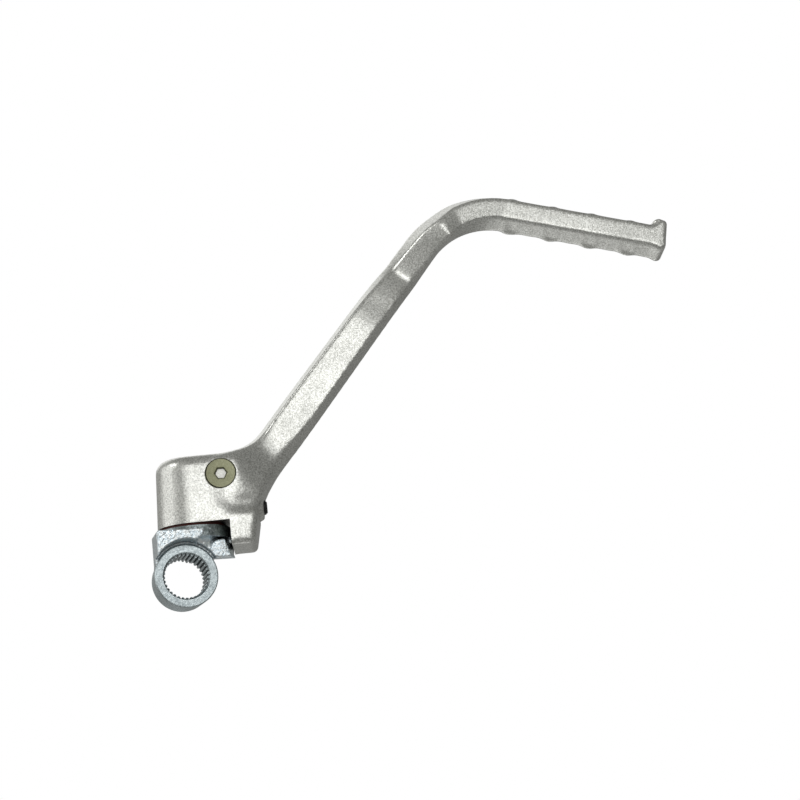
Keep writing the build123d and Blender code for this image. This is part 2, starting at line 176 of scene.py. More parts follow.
def make_sky():
    """A white sky to the camera, and to the part a dim dome that changes from the left to the right."""
    world = bpy.data.worlds.new("studio")
    world.use_nodes = True
    tree = world.node_tree
    tree.nodes.clear()
    way = add_node(tree, "ShaderNodeTexCoord")
    parts = add_node(tree, "ShaderNodeSeparateXYZ")
    fall = add_node(
        tree, "ShaderNodeMapRange", From_Min=-1.0, From_Max=1.0, To_Min=SKY_LEFT, To_Max=SKY_RIGHT
    )
    around = add_node(tree, "ShaderNodeBackground", Color=SKY_TINT)
    seen = add_node(tree, "ShaderNodeBackground", Color=SKY_SEEN, Strength=1.0)
    link(way.outputs["Generated"], parts.inputs[0])
    link(parts.outputs["X"], fall.inputs["Value"])
    link(fall.outputs["Result"], around.inputs["Strength"])
    show_two_ways(tree, around, seen, "ShaderNodeOutputWorld")
    bpy.context.scene.world = world


make_floor()
make_sky()
bpy.context.scene.view_settings.view_transform = "Standard"
print("backdrop: floor at", FLOOR_HEIGHT, "and sky", bpy.context.scene.world.name)

# %% [markdown]
# ## Lights
#
# Blasted aluminium shows what stands around it, blurred. A key softbox almost behind the camera gives the
# bright faces, and a weaker wing beside it lights the faces that turn a little to the left. A large panel on
# the left picks out the round of the head, and two behind it, high and low, run along the bevels.

# %% Lights
LIGHT_DISTANCE = 3.0
part_middle = Vector((0.1, -0.01, 0.07))
# Each softbox: name, direction from the part, width, height and radiance.
SOFTBOXES = [
    ("key_softbox", (-0.22, -0.955, 0.20), 1.15, 1.15, 1.95),
    ("wing_softbox", (-0.66, -0.72, 0.18), 1.2, 1.2, 0.12),
    ("left_panel", (-0.95, 0.05, 0.25), 2.8, 2.2, 0.62),
    ("back_panel", (-0.12, 0.82, 0.56), 2.4, 2.0, 0.70),
    ("low_panel", (-0.16, 0.62, -0.76), 2.2, 2.0, 0.55),
]


def make_softbox(name, toward, width, height, radiance):
    """An area light in a direction from the part, facing it, as bright as asked over its whole face."""
    data = bpy.data.lights.new(name, "AREA")
    data.shape = "RECTANGLE"
    data.size = width
    data.size_y = height
    data.energy = radiance * math.pi * width * height
    light = new_object(name, data)
    direction = Vector(toward).normalized()
    light.location = part_middle + direction * LIGHT_DISTANCE
    light.rotation_mode = "QUATERNION"
    light.rotation_quaternion = direction.to_track_quat("Z", "Y")
    light.visible_camera = False
    return light


for softbox in SOFTBOXES:
    make_softbox(*softbox)

# %% [markdown]
# ## Effects that several finishes share
#
# Two effects come back on most of the metals. The grain is what blasting, forging and plating leave: specks
# of half a millimetre that shine differently and stand a little proud. The handling is a slow change over
# some centimetres, from fingers and storage. Each is a node group that gives out masks and heights only.

# %% Shared effects
COARSE_SHARE = 0.4


def new_group(name, inputs, outputs):
    """A shader node group with number inputs and outputs; gives back its tree and its two end nodes."""
    tree = bpy.data.node_groups.new(name, "ShaderNodeTree")
    for label, value in inputs.items():
        socket = tree.interface.new_socket(label, in_out="INPUT", socket_type="NodeSocketFloat")
        socket.default_value = value
    for label in outputs:
        tree.interface.new_socket(label, in_out="OUTPUT", socket_type="NodeSocketFloat")
    return tree, add_node(tree, "NodeGroupInput", (-800, 0)), add_node(tree, "NodeGroupOutput", (600, 0))


def make_grain_group():
    """Specks of a given fineness: a mask of bright and dull ones, and their height."""
    tree, put, out = new_group("grain", {"Scale": 1800.0}, ["Speckle", "Height"])
    where = add_node(tree, "ShaderNodeTexCoord", (-800, -200))
    fine = add_node(tree, "ShaderNodeTexNoise", (-400, 100), Detail=2.0, Roughness=0.6)
    slower = add_node(tree, "ShaderNodeMath", (-600, -150), operation="MULTIPLY")
    slower.inputs[1].default_value = COARSE_SHARE
    coarse = add_node(tree, "ShaderNodeTexNoise", (-400, -150), Detail=2.0, Roughness=0.6)
    speckle = add_node(tree, "ShaderNodeMapRange", (0, 100), From_Min=0.36, From_Max=0.64)
    height = add_node(tree, "ShaderNodeMix", (0, -150), Factor=0.45)
    link(put.outputs["Scale"], fine.inputs["Scale"])
    link(put.outputs["Scale"], slower.inputs[0])
    link(slower.outputs[0], coarse.inputs["Scale"])
    for noise in (fine, coarse):
        link(where.outputs["Object"], noise.inputs["Vector"])
    link(fine.outputs[0], speckle.inputs["Value"])
    link(fine.outputs[0], height.inputs["A"])
    link(coarse.outputs[0], height.inputs["B"])
    link(speckle.outputs["Result"], out.inputs["Speckle"])
    link(height.outputs["Result"], out.inputs["Height"])
    return tree


def make_handling_group():
    """A slow, cloudy change over the surface."""
    tree, put, out = new_group("handling", {"Scale": 60.0}, ["Cloud"])
    where = add_node(tree, "ShaderNodeTexCoord", (-800, -200))
    cloud = add_node(tree, "ShaderNodeTexNoise", (-400, 0), Detail=5.0, Roughness=0.55, Distortion=0.3)
    spread = add_node(tree, "ShaderNodeMapRange", (0, 0), From_Min=0.38, From_Max=0.68)
    link(put.outputs["Scale"], cloud.inputs["Scale"])
    link(where.outputs["Object"], cloud.inputs["Vector"])
    link(cloud.outputs[0], spread.inputs["Value"])
    link(spread.outputs["Result"], out.inputs["Cloud"])
    return tree


grain_group = make_grain_group()
handling_group = make_handling_group()
print("shared effects:", grain_group.name, handling_group.name)

# %% [markdown]
# ## Metal finishes
#
# All the metals are built alike: dull and bright specks mixed by the grain, a gloss that follows the
# handling, a fine bump, and painted shade: the colour darkens in narrow recesses, found by ambient
# occlusion. The lever is bead-blasted aluminium with a faint warm tone. The knuckle is zinc over a rough
# forging, bluish and coarser, and painted darker on the turned flange as shade under the head. The screw is
# olive plated, with a painted highlight on its socket floor and painted shade on the socket's walls, the
# plug black oxide, the spring bright wire and the ball polished.

# %% Metal finishes
HANDLING_SCALE = 60.0
# How far the painted shade in narrow recesses looks for occlusion, in millimetres.
SHADE_REACH = 1.5


def new_material(name):
    """A node material, with its tree and its Principled shader."""
    material = bpy.data.materials.new(name)
    material.use_nodes = True
    return material, material.node_tree, material.node_tree.nodes["Principled BSDF"]


def use_group(tree, group, scale, place):
    """Puts a shared effect into a material's tree, at a scale."""
    node = add_node(tree, "ShaderNodeGroup", place, node_tree=group)
    node.inputs["Scale"].default_value = scale
    return node


def mix_colours(tree, factor, low, high, place):
    """Mixes two colours by an output; a colour may be a tuple or an output of its own."""
    mix = add_node(tree, "ShaderNodeMix", place, data_type="RGBA")
    link(factor, mix.inputs["Factor"])
    for socket, colour in ((mix.inputs[6], low), (mix.inputs[7], high)):
        if isinstance(colour, tuple):
            socket.default_value = (*colour, 1.0)
        else:
            link(colour, socket)
    return mix.outputs[2]


def metal(name, dull, bright, recess_shade, gloss, specks, bump, metallic=1.0):
    """A metal finish: colours of dull and bright specks and of the painted shade in narrow recesses,
    roughness range, specks per metre and height of the specks in millimetres."""
    material, tree, shader = new_material(name)
    grain = use_group(tree, grain_group, specks, (-900, 100))
    handling = use_group(tree, handling_group, HANDLING_SCALE, (-900, -150))
    specked = mix_colours(tree, grain.outputs["Speckle"], dull, bright, (-600, 200))
    # Painted shade: ambient occlusion darkens the colour towards the recess colour in narrow recesses.
    shade_occlusion = add_node(
        tree, "ShaderNodeAmbientOcclusion", (-900, 450), samples=8, Distance=SHADE_REACH * MM
    )
    reach = add_node(tree, "ShaderNodeMapRange", (-600, 450), From_Min=0.3, From_Max=0.85)
    link(shade_occlusion.outputs["AO"], reach.inputs["Value"])
    coloured = mix_colours(tree, reach.outputs["Result"], recess_shade, specked, (-300, 300))
    link(coloured, shader.inputs["Base Color"])
    rough = add_node(tree, "ShaderNodeMapRange", (-300, -50), To_Min=gloss[0], To_Max=gloss[1])
    link(handling.outputs["Cloud"], rough.inputs["Value"])
    link(rough.outputs["Result"], shader.inputs["Roughness"])
    relief = add_node(tree, "ShaderNodeBump", (-300, -300), Strength=1.0, Distance=bump * MM)
    link(grain.outputs["Height"], relief.inputs["Height"])
    link(relief.outputs["Normal"], shader.inputs["Normal"])
    shader.inputs["Metallic"].default_value = metallic
    return material


blasted_aluminium = metal(
    "blasted_aluminium",
    dull=(0.54, 0.545, 0.51), bright=(0.95, 0.955, 0.915), recess_shade=(0.20, 0.20, 0.18),
    gloss=(0.30, 0.36), specks=1600.0, bump=0.09,
)
zinc_plate = metal(
    "zinc_plate",
    dull=(0.43, 0.49, 0.51), bright=(0.72, 0.80, 0.82), recess_shade=(0.05, 0.055, 0.06),
    gloss=(0.32, 0.42), specks=1300.0, bump=0.12,
)
# Painted shade: a darker copy of the zinc for the turned flange, which lies in shade under the lever's head.
flange_shade_zinc = metal(
    "flange_shade_zinc",
    dull=(0.20, 0.235, 0.235), bright=(0.42, 0.475, 0.48), recess_shade=(0.12, 0.14, 0.14),
    gloss=(0.30, 0.42), specks=1300.0, bump=0.12,
)
forged_zinc = metal(
    "forged_zinc",
    dull=(0.74, 0.85, 0.92), bright=(0.96, 1.0, 1.0), recess_shade=(0.05, 0.06, 0.065),
    gloss=(0.26, 0.34), specks=1000.0, bump=0.45,
)
olive_plate = metal(
    "olive_plate",
    dull=(0.27, 0.275, 0.17), bright=(0.42, 0.425, 0.28), recess_shade=(0.05, 0.05, 0.03),
    gloss=(0.36, 0.46), specks=2600.0, bump=0.02, metallic=0.75,
)
# Painted highlight: a near-white finish for the screw socket's floor, standing in for the light it reflects.
socket_highlight_steel = metal(
    "socket_highlight_steel",
    dull=(0.75, 0.75, 0.70), bright=(0.98, 0.98, 0.94), recess_shade=(0.75, 0.75, 0.70),
    gloss=(0.35, 0.45), specks=2600.0, bump=0.03,
)
# Black oxide of the plug, and also the painted shade on the walls and rim of the screw's socket.
black_oxide_and_socket_shade = metal(
    "black_oxide_and_socket_shade",
    dull=(0.02, 0.02, 0.02), bright=(0.045, 0.045, 0.045), recess_shade=(0.008, 0.008, 0.008),
    gloss=(0.34, 0.46), specks=2200.0, bump=0.02, metallic=0.6,
)
bright_wire = metal(
    "bright_wire",
    dull=(0.40, 0.40, 0.41), bright=(0.52, 0.52, 0.53), recess_shade=(0.10, 0.10, 0.10),
    gloss=(0.24, 0.32), specks=3200.0, bump=0.01,
)
polished_steel = metal(
    "polished_steel",
    dull=(0.68, 0.68, 0.70), bright=(0.73, 0.73, 0.75), recess_shade=(0.25, 0.25, 0.25),
    gloss=(0.07, 0.12), specks=2400.0, bump=0.002,
)
print("metals:", [m.name for m in bpy.data.materials if m.name != "pale_floor"])

# %% [markdown]
# ## Rubber
#
# The seal in the gap under the head is a moulded ring of dark red rubber. It is matt, with a fine dust that
# takes some of the red away.

# %% Rubber
RUBBER_SPECKS = 2400.0
RUBBER_CLOUD = 120.0
RUBBER_BUMP = 0.05
RUBBER_DARK = (0.13, 0.022, 0.016)
RUBBER_LIGHT = (0.19, 0.036, 0.026)
RUBBER_DUST = (0.14, 0.06, 0.05)
RUBBER_ROUGHNESS = 0.62


def make_rubber():
    """Matt dark red rubber with a trace of dust."""
    material, tree, shader = new_material("red_rubber")
    grain = use_group(tree, grain_group, RUBBER_SPECKS, (-900, 100))
    handling = use_group(tree, handling_group, RUBBER_CLOUD, (-900, -150))
    moulded = mix_colours(tree, grain.outputs["Speckle"], RUBBER_DARK, RUBBER_LIGHT, (-600, 200))
    dusty = mix_colours(tree, handling.outputs["Cloud"], moulded, RUBBER_DUST, (-300, 200))
    link(dusty, shader.inputs["Base Color"])
    relief = add_node(tree, "ShaderNodeBump", (-300, -300), Strength=0.2, Distance=RUBBER_BUMP * MM)
    link(grain.outputs["Height"], relief.inputs["Height"])
    link(relief.outputs["Normal"], shader.inputs["Normal"])
    shader.inputs["Roughness"].default_value = RUBBER_ROUGHNESS
    return material


red_rubber = make_rubber()
print("rubber:", red_rubber.name)

# %% [markdown]
# ## Tools for forged skins
#
# The two forgings have soft skins that a few machined cuts go through. So each is made as in the shop: the
# construction's own mesh is filled up where it was machined, remeshed into small even faces and relaxed,
# which gives the forging its rounded edges. Then the bores, seats and flats are cut crisp into it.

# %% Tools for forged skins
MERGE_DISTANCE = 1e-6
SMOOTH_FACTOR = 0.5


def merged_copy(name, node):
    """A copy of a node's mesh with its loose triangles merged."""
    work = bmesh.new()
    work.from_mesh(frame["nodes"][node].data)
    bmesh.ops.remove_doubles(work, verts=work.verts, dist=MERGE_DISTANCE)
    mesh = bpy.data.meshes.new(name)
    work.to_mesh(mesh)
    work.free()
    return new_object(name, mesh)


def settle(piece):
    """Turns a piece's modifiers into plain mesh."""
    graph = bpy.context.evaluated_depsgraph_get()
    mesh = bpy.data.meshes.new_from_object(piece.evaluated_get(graph))
    piece.modifiers.clear()
    piece.data = mesh


def combine(piece, tool, operation):
    """Joins a tool to a piece, cuts it from it or keeps what they share, and removes the tool."""
    modifier = piece.modifiers.new(operation.lower(), "BOOLEAN")
    modifier.operation = operation
    modifier.object = tool
    modifier.solver = "MANIFOLD"
    settle(piece)
    bpy.data.objects.remove(tool)


def remesh(piece, voxel):
    """Rebuilds a solid from small even faces."""
    modifier = piece.modifiers.new("even_faces", "REMESH")
    modifier.mode = "VOXEL"
    modifier.voxel_size = voxel * MM
    settle(piece)


def soften(piece, rounds, group=""):
    """Smooths a piece, or only what a vertex group holds; the edges come out with a soft round."""
    modifier = piece.modifiers.new("soft_edges", "SMOOTH")
    modifier.factor = SMOOTH_FACTOR
    modifier.iterations = rounds
    modifier.vertex_group = group
    settle(piece)


# %% [markdown]
# ## Turned and square tools
#
# Every machined cut on this part is round or flat. A profile turned about an axis makes the round ones, down
# to the hexagonal sockets, which are turned with six segments. A box makes the flat ones. A tool is drawn
# about its own +Z axis in millimetres, and is then placed along any direction.

# %% Turned and square tools
ROUND_SEGMENTS = 128


def along(direction, origin, reference=None):
    """Places a tool's own +Z axis along a direction from an origin in millimetres, in a reference frame."""
    turn = Vector(direction).to_track_quat("Z", "Y").to_matrix().to_4x4()
    placed = Matrix.Translation(Vector(origin) * MM) @ turn
    return placed if reference is None else reference @ placed


def placed_object(name, work, place):
    """Turns a bmesh into an object whose mesh lies at its place."""
    mesh = bpy.data.meshes.new(name)
    work.to_mesh(mesh)
    work.free()
    mesh.transform(place)
    return new_object(name, mesh)


def lathe(name, profile, place, segments=ROUND_SEGMENTS):
    """A solid of revolution in millimetres: (radius, height) pairs from the bottom to the top of its axis."""
    work = bmesh.new()
    turns = [2 * math.pi * i / segments for i in range(segments)]
    rings = []
    for radius, height in [(0.0, profile[0][1]), *profile, (0.0, profile[-1][1])]:
        ring = []
        for turn in (turns if radius else [0.0]):
            spot = (radius * math.cos(turn) * MM, radius * math.sin(turn) * MM, height * MM)
            ring.append(work.verts.new(spot))
        rings.append(ring)
    for low, high in zip(rings, rings[1:]):
        for i in range(segments):
            j = (i + 1) % segments
            corners = [low[i % len(low)], low[j % len(low)], high[j % len(high)], high[i % len(high)]]
            work.faces.new(dict.fromkeys(corners))
    return placed_object(name, work, place)


def cylinder(name, radius, bottom, top, place):
    """A plain cylinder, in millimetres."""
    return lathe(name, [(radius, bottom), (radius, top)], place)


def block(name, low, high, place):
    """A box between two corners, in millimetres."""
    work = bmesh.new()
    made = bmesh.ops.create_cube(work, size=1.0)
    for vertex in made["verts"]:
        vertex.co = [(high[k] if vertex.co[k] > 0 else low[k]) * MM for k in range(3)]
    return placed_object(name, work, place)


# %% [markdown]
# ## Finishing a piece
#
# A finished piece is shaded smooth apart from its crisp edges, and gets its materials. It then rides on the
# body that carries it and stands for its node of the construction.

# %% Finishing a piece
def shade(piece, sharp_angle):
    """Shades a piece smooth, apart from edges sharper than an angle in degrees."""
    piece.data.shade_smooth()
    piece.data.set_sharp_from_angle(angle=math.radians(sharp_angle))


def dress(piece, body, node, slot, *materials):
    """Gives a piece its finishes and its body, and lets it stand for a node; the slot is not used."""
    zones = [face.material_index for face in piece.data.polygons]
    piece.data.materials.clear()
    for material in materials:
        piece.data.materials.append(material)
    piece.data.polygons.foreach_set("material_index", zones)
    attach(piece, body)
    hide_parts(node)


# %% [markdown]
# ## The lever's own frame
#
# The lever is one forging, with head, heel, arm, bend and peg. Its sizes are easiest to give in a frame that
# stands on the swivel journal and is turned with the folded lever. Both come from the joints: the place from
# the swing, and the turn from the detent ball, which presses inwards along the lever's own X axis. All sizes
# from here on are in millimetres.

# %% The lever's own frame
joints = {joint["name"]: joint for joint in frame["joints"]}
swing_place = joints["lever_swing"]["pos_m"]
journal_place = Vector((swing_place[0], swing_place[1], 0.0))
outward = -Vector(joints["ball_press"]["axis"])
lever_turn = math.atan2(outward.y, outward.x)
lever_frame = Matrix.Translation(journal_place) @ Matrix.Rotation(lever_turn, 4, "Z")
print("lever frame turned by", round(math.degrees(lever_turn), 2), "degrees")

# %% [markdown]
# ## Machined cuts of the lever
#
# On the real lever the journal's bore, the slot beside the heel, the seal's seat, the screw's hole and the
# detent's bore are machined into the finished forging. Here each comes twice. The fills close the cuts of the
# construction and reach just to the outer skin, so the relaxed skin runs across them undisturbed. The cuts
# then open them again, crisp and to size.

# %% Machined cuts of the lever
bore_radius = 11.53
bore_top = 45.6
head_radius = 14.6
head_underside = 20.7
head_lean = math.radians(2.3)
heel_inner = 15.8
heel_half_depth = 14.4
heel_bottom = 10.4
seal_seat_radius = 13.7
seal_seat_top = 21.6
screw_x = 13.65
screw_z = 40.1
screw_face = 13.8
screw_hole_radius = 3.05
screw_hole_end = 11.0
countersink_radius = 6.65
detent_z = 26.5
detent_radius = 3.05
boss_end = 29.7
FILL = 0.8
SKIN = 0.04
BEYOND = 30.0
screw_origin = (screw_x, -screw_face, screw_z)
screw_axis = along((0, 1, 0), screw_origin, lever_frame)
detent_axis = along((1, 0, 0), (0, 0, detent_z), lever_frame)


def lever_fills():
    """Solids that fill the machined cuts of the lever."""
    leaning = (0.0, math.cos(head_lean), -math.sin(head_lean))
    into_head = along(leaning, screw_origin, lever_frame)
    return [
        cylinder("bore_fill", bore_radius + FILL, heel_bottom, bore_top + FILL, lever_frame),
        cylinder("foot_fill", head_radius - SKIN, heel_bottom, head_underside + FILL, lever_frame),
        block(
            "slot_fill",
            (0.0, SKIN - heel_half_depth, heel_bottom + SKIN),
            (heel_inner + FILL, heel_half_depth - SKIN, seal_seat_top + FILL),
            lever_frame,
        ),
        cylinder("screw_fill", countersink_radius + FILL, SKIN, screw_face, into_head),
        cylinder("detent_fill", detent_radius + FILL, 0.0, boss_end - SKIN, detent_axis),
    ]


def lever_cuts():
    """Solids that cut the machined features of the lever."""
    countersink_depth = countersink_radius - screw_hole_radius
    return [
        block("slot_cut", (-BEYOND, -BEYOND, -BEYOND), (heel_inner, BEYOND, head_underside), lever_frame),
        cylinder("bore_cut", bore_radius, 0.0, bore_top, lever_frame),
        cylinder("seal_cut", seal_seat_radius, 0.0, seal_seat_top, lever_frame),
        lathe(
            "screw_cut",
            [
                (countersink_radius, -BEYOND),
                (countersink_radius, 0.0),
                (screw_hole_radius, countersink_depth),
                (screw_hole_radius, screw_face + screw_hole_end),
            ],
            screw_axis,
        ),
        cylinder("detent_cut", detent_radius, 0.0, boss_end + BEYOND, detent_axis),
    ]


# %% [markdown]
# ## Heel and arm root
#
# The die gives the heel a pad that stands proud of the head's front, and fills the root of the arm a little.
# Neither has an edge of its own. So the even faces of the remeshed skin are pushed by soft functions of their
# place, which run out to nothing on all sides.

# %% Heel and arm root
STEP_TIP = 7.0
STEP_RUN = 10.0
STEP_END = 24.0
STEP_FADE = 12.0
STEP_HEIGHT = 25.6
STEP_FALL = 0.08
STEP_WALL = 3.4
STEP_RETURN = 20.0
STEP_DEPTH = 0.9
STEP_MIDDLE = -4.0
STEP_FRONT = -14.0
ROOT_X = 28.0
ROOT_Z = 45.0
ROOT_REACH = 14.0
ROOT_FRONT = -7.0
ROOT_SWELL = 0.9


def ease(share):
    """Runs softly from 0 to 1."""
    share = min(max(share, 0.0), 1.0)
    return share * share * (3.0 - 2.0 * share)


def reshape(piece, shift_at):
    """Moves each vertex by the shift that a function gives for its spot, both in the lever's frame."""
    to_lever = lever_frame.inverted()
    turn = lever_frame.to_3x3()
    for vertex in piece.data.vertices:
        vertex.co += turn @ shift_at(to_lever @ vertex.co / MM) * MM


def heel_step(spot):
    """Sets the head's front back above the heel's pad: a soft step that starts from nothing at the left and
    grows towards the arm, with the front running slowly back to its old level above it."""
    front = ease((spot.y - STEP_MIDDLE) / (STEP_FRONT - STEP_MIDDLE))
    above = spot.z - STEP_HEIGHT + STEP_FALL * (spot.x - STEP_TIP)
    rise = ease(above / STEP_WALL) * (1.0 - ease((above - STEP_WALL) / STEP_RETURN))
    reach = ease((spot.x - STEP_TIP) / STEP_RUN) * (1.0 - ease((spot.x - STEP_END) / STEP_FADE))
    return Vector((0.0, STEP_DEPTH * rise * reach * front, 0.0))


def root_swell(spot):
    """Fills the front of the arm's root a little, so that the head runs softly into the arm."""
    away = math.hypot(spot.x - ROOT_X, spot.z - ROOT_Z)
    front = ease((spot.y - STEP_MIDDLE) / (ROOT_FRONT - STEP_MIDDLE))
    return Vector((0.0, -ROOT_SWELL * ease(1.0 - away / ROOT_REACH) * front, 0.0))


# %% [markdown]
# ## Arm, bend and peg
#
# The bar runs straight up the arm, round the bend and straight out along the peg. Every spot on it has a run
# along that line and a height over it, and the shifts are given in those two. They widen the arm's front face
# below, lift the peg's front face, start the ramp to the valley sooner and keep the lower ribs behind the
# parting line. The lip at the peg's end carries a half-round bead, which is added as two short cylinders.

# %% Arm, bend and peg
arm_place = (48.45, 0.0, 65.6)
arm_heading = math.radians(49.4)
bend_start_run = 86.49
bend_end_run = 127.58
bend_radius = 36.0
bend_turn = math.radians(65.4)
peg_start = (142.0, 0.0, 142.45)
peg_heading = math.radians(-16.0)
peg_half_depth = 8.2
peg_height = 14.4
peg_inset = 3.5
rib_first = 4.0
rib_pitch = 16.75
rib_half_length = 3.6
rib_rise = 0.9
rib_count = 4
bead_run = 65.3
bead_top = 10.2
bead_radius = 2.4
BEAD_OVERLAP = 0.5
BEAD_SHORT = 1.2
RIB_EDGE = 1.5
FACE_LIFT = 1.2
FACE_HALF = peg_height / 2 - peg_inset
LIFT_FADE = 30.0
ARM_DROP = 1.1
CREST_DROP = 0.9
DROP_START = -15.0
DROP_FADE = 18.0
RAMP_START = 43.0
RAMP_RUN = 14.0
RAMP_END = 60.0
RAMP_DIP = 0.9
VALLEY = 72.0
FACET_RUN = 27.0


def bar_axes(heading):
    """The way along the bar and the way up from it, at a heading."""
    ahead = Vector((math.cos(heading), 0.0, math.sin(heading)))
    return ahead, Vector((-ahead.z, 0.0, ahead.x))


def bar_spot(spot):
    """A spot's run along the bar, its height over the bar's line, and the way up: along the straight arm,
    round the bend and along the straight peg."""
    ahead, upward = bar_axes(arm_heading)
    spot = spot - Vector(arm_place)
    run, height = spot.dot(ahead), spot.dot(upward)
    if run < bend_start_run:
        return run, height, upward
    radial = ahead * (run - bend_start_run) + upward * (height + bend_radius)
    turned = math.atan2(run - bend_start_run, height + bend_radius)
    if turned < bend_turn:
        return bend_start_run + bend_radius * turned, radial.length - bend_radius, radial.normalized()
    ahead, upward = bar_axes(peg_heading)
    return bend_end_run + radial.dot(ahead), radial.dot(upward) - bend_radius, upward


def rib_calm(run, height, depth, forward):
    """How far a spot of the peg's lower flank goes back up, so that the ribs stay behind the parting line."""
    from_first = run - bend_end_run - rib_first
    if height > 0.0 or not -rib_half_length < from_first < (rib_count - 0.5) * rib_pitch:
        return 0.0
    from_rib = abs((from_first + rib_pitch / 2) % rib_pitch - rib_pitch / 2)
    swell = rib_rise * ease(1.0 - from_rib / rib_half_length) * ease(-height / FACE_HALF)
    return swell * (ease(forward / RIB_EDGE) - depth)


def bar_front(spot):
    """Sets the bar's front: the peg's face a little higher, the arm's face wider below, the lower ribs behind
    the parting line, and the ramp to the valley starting sooner."""
    run, height, upward = bar_spot(spot)
    if spot.y > 0.0 or run < DROP_START or abs(height) > 2 * peg_height:
        return Vector((0.0, 0.0, 0.0))
    depth = min(-spot.y / peg_half_depth, 1.0)
    to_peg = bend_end_run - run
    lift = FACE_LIFT * ease(height / FACE_HALF) * ease(1.0 - to_peg / LIFT_FADE)
    arm_drop = ARM_DROP * ease((run - DROP_START) / DROP_FADE)
    crest_drop = CREST_DROP * ease((run - RAMP_END) / DROP_FADE)
    drop = (arm_drop + crest_drop) * (ease(-height / FACE_HALF) * ease(to_peg / LIFT_FADE))
    dip = RAMP_DIP * ease((run - RAMP_START) / RAMP_RUN) * ease(1.0 - (run - VALLEY) / FACET_RUN)
    change = depth * (lift - drop) + rib_calm(run, height, depth, -spot.y)
    return upward * change + Vector((0.0, depth * dip, 0.0))


def lip_beads():
    """The half-round bead along the top of the peg's lip, in front of the parting line and behind it."""
    ahead, upward = bar_axes(peg_heading)
    top = Vector(peg_start) + ahead * bead_run + upward * (bead_top - bead_radius)
    beads = []
    for side in (-1.0, 1.0):
        slope = upward * -peg_inset + Vector((0.0, side * peg_half_depth, 0.0))
        place = along(slope, top, lever_frame)
        beads.append(cylinder("lip_bead", bead_radius, -BEAD_OVERLAP, slope.length - BEAD_SHORT, place))
    return beads


# %% [markdown]
# ## Lever forging
#
# Now the lever goes through its shop in order: filled, remeshed, pushed into its soft forms, relaxed and
# machined. Where the faces of the die run softly into each other, round the arm's root, the valley and the
# crest, it is relaxed for much longer than elsewhere.

# %% Lever forging
LEVER_VOXEL = 0.55
LEVER_ROUNDS = 10
LEVER_EDGE = 35.0
SOFT_ROUNDS = 110
# Each soft spot: middle, inner and outer radius, and weight.
SOFT_SPOTS = [
    ((19.0, -13.0, 31.0), 11.0, 21.0, 0.5),
    ((30.0, -9.0, 43.0), 8.0, 19.0, 0.9),
    ((95.0, -4.0, 120.0), 4.0, 10.0, 0.4),
    ((114.3, -10.0, 139.2), 3.0, 8.0, 0.25),
]


def mark_soft_spots(piece):
    """A vertex group of the soft spots, with full weight inside and none outside."""
    group = piece.vertex_groups.new(name="soft")
    to_lever = lever_frame.inverted()
    for vertex in piece.data.vertices:
        place = to_lever @ vertex.co / MM
        weight = 0.0
        for middle, inner, outer, full in SOFT_SPOTS:
            share = (outer - (place - Vector(middle)).length) / (outer - inner)
            weight = max(weight, full * min(share, 1.0))
        if weight > 0:
            group.add([vertex.index], weight, "REPLACE")


def make_lever():
    """The lever's forged skin with its machined cuts; it stands for the lever."""
    lever = merged_copy("lever_forging", "lever")
    for fill in lever_fills() + lip_beads():
        combine(lever, fill, "UNION")
    remesh(lever, LEVER_VOXEL)
    for shift_at in (heel_step, bar_front, root_swell):
        reshape(lever, shift_at)
    mark_soft_spots(lever)
    soften(lever, SOFT_ROUNDS, "soft")
    soften(lever, LEVER_ROUNDS)
    lever.vertex_groups.clear()
    for cut in lever_cuts():
        combine(lever, cut, "DIFFERENCE")
    shade(lever, LEVER_EDGE)
    dress(lever, "lever_body", "lever", "lever_aluminium", blasted_aluminium)
    return lever


lever = make_lever()
print("lever faces:", len(lever.data.polygons))

# %% [markdown]
# ## Rough skin of the knuckle
#
# The knuckle's stop block and ear keep the rough skin of the die. A small geometry tree makes it: it pushes
# the front faces in and out along their normals, by a noise with grains of about a millimetre, and the other
# faces only by a trace of that. A real relief is needed here, because it shows in the outline of the edges.

# %% Rough skin of the knuckle
NOISE_MEAN = 0.5
ROUGH_INPUTS = {"Depth": "Float", "Grain": "Float", "Toward": "Vector", "Finish": "Material"}


def new_geometry_tree(name, inputs):
    """A geometry tree with named inputs; gives back the tree, its input node and those inputs by name."""
    tree = bpy.data.node_groups.new(name, "GeometryNodeTree")
    face = tree.interface
    face.new_socket("Geometry", in_out="INPUT", socket_type="NodeSocketGeometry")
    sockets = {}
    for label, kind in inputs.items():
        sockets[label.lower()] = face.new_socket(label, in_out="INPUT", socket_type="NodeSocket" + kind)
    face.new_socket("Geometry", in_out="OUTPUT", socket_type="NodeSocketGeometry")
    return tree, add_node(tree, "NodeGroupInput", (-800, 0)), sockets


def end_geometry_tree(tree, put, last):
    """Realizes what a geometry tree has made, gives it its finish and hands it out."""
    realized = add_node(tree, "GeometryNodeRealizeInstances", (200, 0))
    finished = add_node(tree, "GeometryNodeSetMaterial", (400, 0))
    out = add_node(tree, "NodeGroupOutput", (600, 0))
    link(last.outputs[0], realized.inputs[0])
    link(realized.outputs[0], finished.inputs["Geometry"])
    link(put.outputs["Finish"], finished.inputs["Material"])
    link(finished.outputs[0], out.inputs[0])


